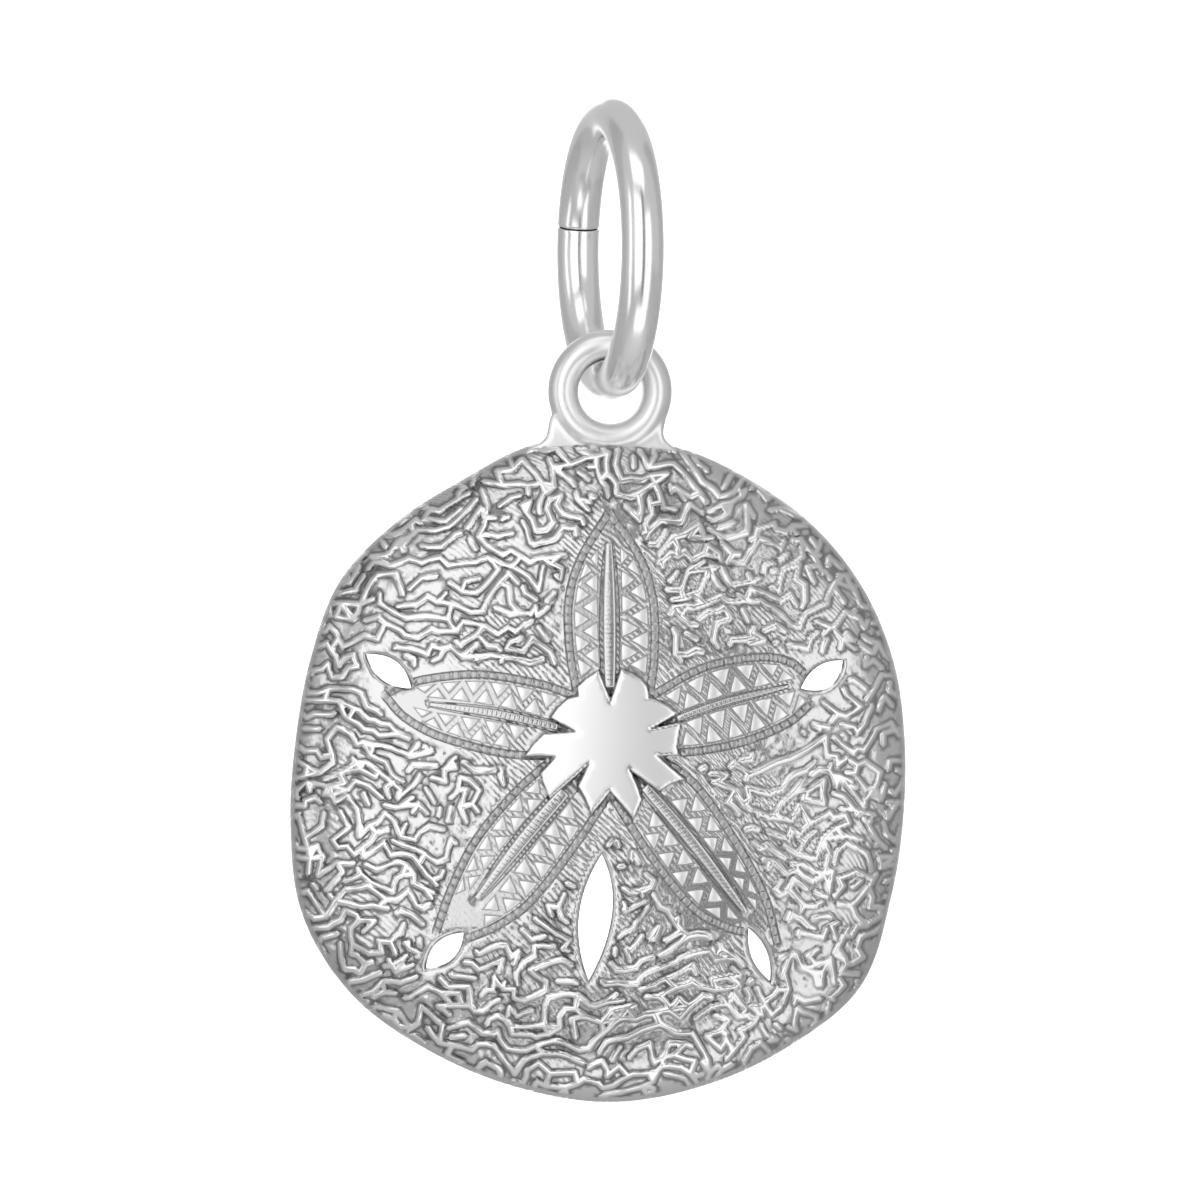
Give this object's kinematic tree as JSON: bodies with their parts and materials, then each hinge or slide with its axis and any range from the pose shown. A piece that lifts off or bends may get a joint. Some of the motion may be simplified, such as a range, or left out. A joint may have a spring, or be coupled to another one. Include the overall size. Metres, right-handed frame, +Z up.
{
  "type": "sand dollar charm",
  "caption": "Domed silver charm in the shape of a sand dollar with petal rosette and slots, hanging by its eyelet from a jump ring.",
  "frame": {"origin": "inside of the jump ring's top, the point the charm hangs from", "axes": "+Z up, -Y towards the charm's domed front, +X to the right as seen from the front"},
  "size_m": [0.0141, 0.0068, 0.023],
  "materials": {
    "polished_wire": "polished sterling silver wire",
    "struck_silver": "cast sterling silver, bright on the ridges and greyer in the recesses"
  },
  "bodies": {
    "ring": {"jump_ring": "polished_wire"},
    "charm": {"sand_dollar": "struck_silver"}
  },
  "joints": [
    {"name": "side_swing", "type": "hinge", "parent": "ring", "child": "charm", "pos_m": [0, 0, -0.00559], "axis": [0.2453, -0.9694, 0], "range_deg": [-110, 110]}
  ]
}
